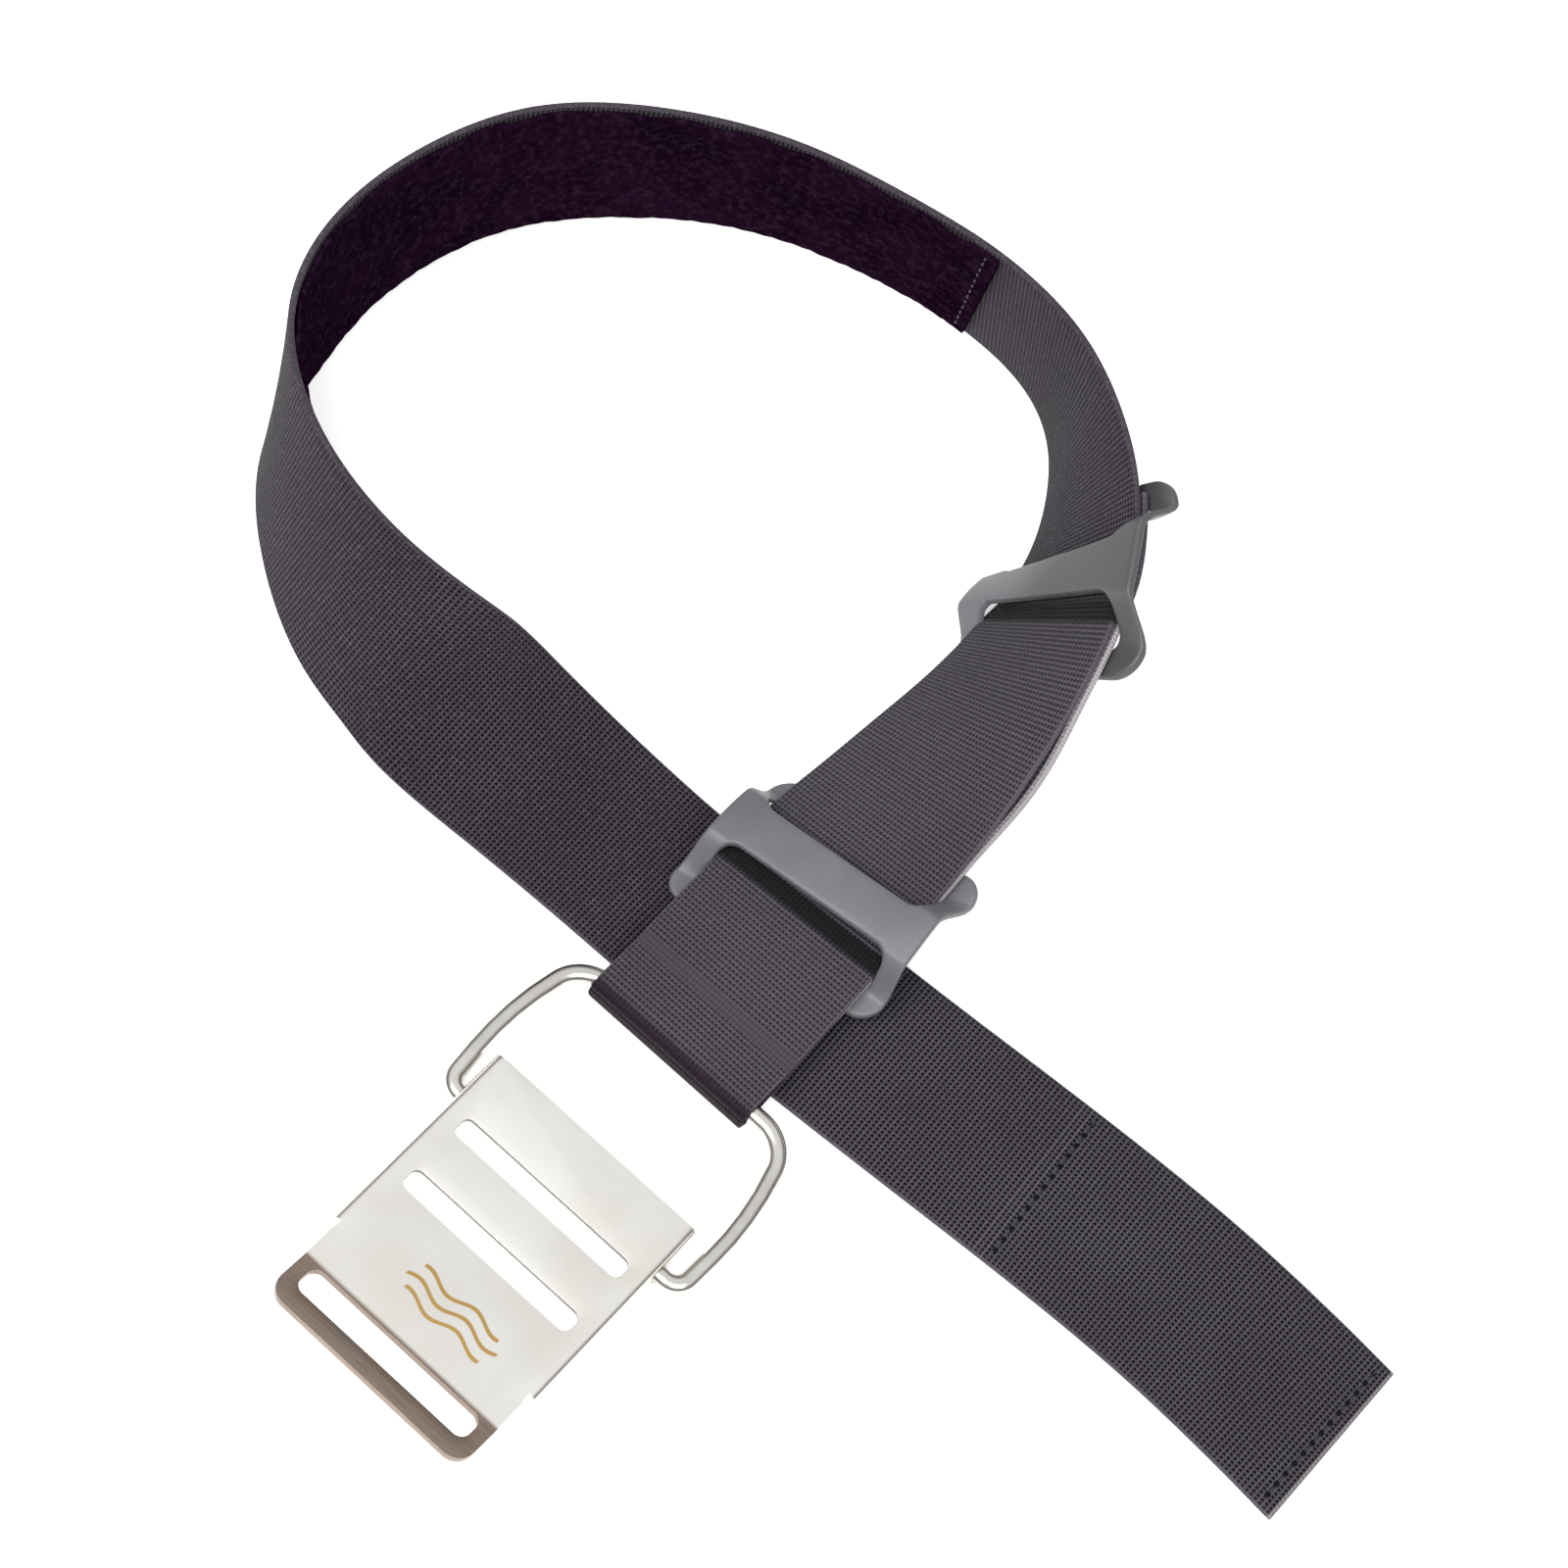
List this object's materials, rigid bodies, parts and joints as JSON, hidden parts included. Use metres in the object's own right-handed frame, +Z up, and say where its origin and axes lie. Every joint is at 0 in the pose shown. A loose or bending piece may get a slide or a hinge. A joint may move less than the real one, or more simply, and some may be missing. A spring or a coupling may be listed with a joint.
{
  "type": "cylinder cam strap",
  "caption": "Webbing strap for a diver's gas cylinder, lying in a loop with a half twist, with moulded slides, a wire bail and a slotted cam buckle plate.",
  "frame": {"origin": "the floor point below the middle of the strap's bounding box, as it lies", "axes": "+Z up; +X across the buckle towards the loose tail's end; +Y from the buckle towards the back of the loop"},
  "size_m": [0.3882, 0.3282, 0.0604],
  "materials": {
    "webbing": "ribbed dark grey nylon webbing",
    "pile": "near-black brushed loop pile",
    "hooks": "black nylon hook tape",
    "thread": "dark bonded nylon thread",
    "moulding": "matte dark grey acetal",
    "steel_wire": "polished stainless wire",
    "steel_plate": "satin stainless sheet"
  },
  "bodies": {
    "band": {"webbing_band": "webbing", "webbing_buckle_end": "webbing", "loop_tape": "pile", "loop_tape_front_seam": "thread", "loop_tape_rear_seam": "thread"},
    "tail": {"webbing_tail": "webbing", "hook_tape": "hooks", "hook_tape_end_seam": "thread", "hook_tape_inner_seam": "thread"},
    "front_slide": {"front_slide": "moulding"},
    "rear_slide": {"rear_slide": "moulding"},
    "bail": {"wire_bail": "steel_wire"},
    "buckle": {"cam_buckle": "steel_plate"}
  },
  "joints": [
    {"name": "bail_swing", "type": "hinge", "parent": "band", "child": "bail", "pos_m": [0.0153, -0.05, 0.00565], "axis": [-1, 0, 0], "range_deg": [0, 75]},
    {"name": "buckle_pivot", "type": "hinge", "parent": "bail", "child": "buckle", "pos_m": [0.0153, -0.096, 0.00565], "axis": [-1, 0, 0], "range_deg": [0, 100]},
    {"name": "tail_lift", "type": "hinge", "parent": "band", "child": "tail", "pos_m": [0.0443, -0.0164, 0.00275], "axis": [0, -1, 0], "range_deg": [0, 60]},
    {"name": "front_slide_shift", "type": "slide", "parent": "band", "child": "front_slide", "axis": [0.0192, -0.996, -0.0875], "range_m": [-0.003, 0.003]},
    {"name": "rear_slide_shift", "type": "slide", "parent": "band", "child": "rear_slide", "axis": [0.2948, -0.948, -0.1198], "range_m": [-0.002, 0.001]}
  ]
}
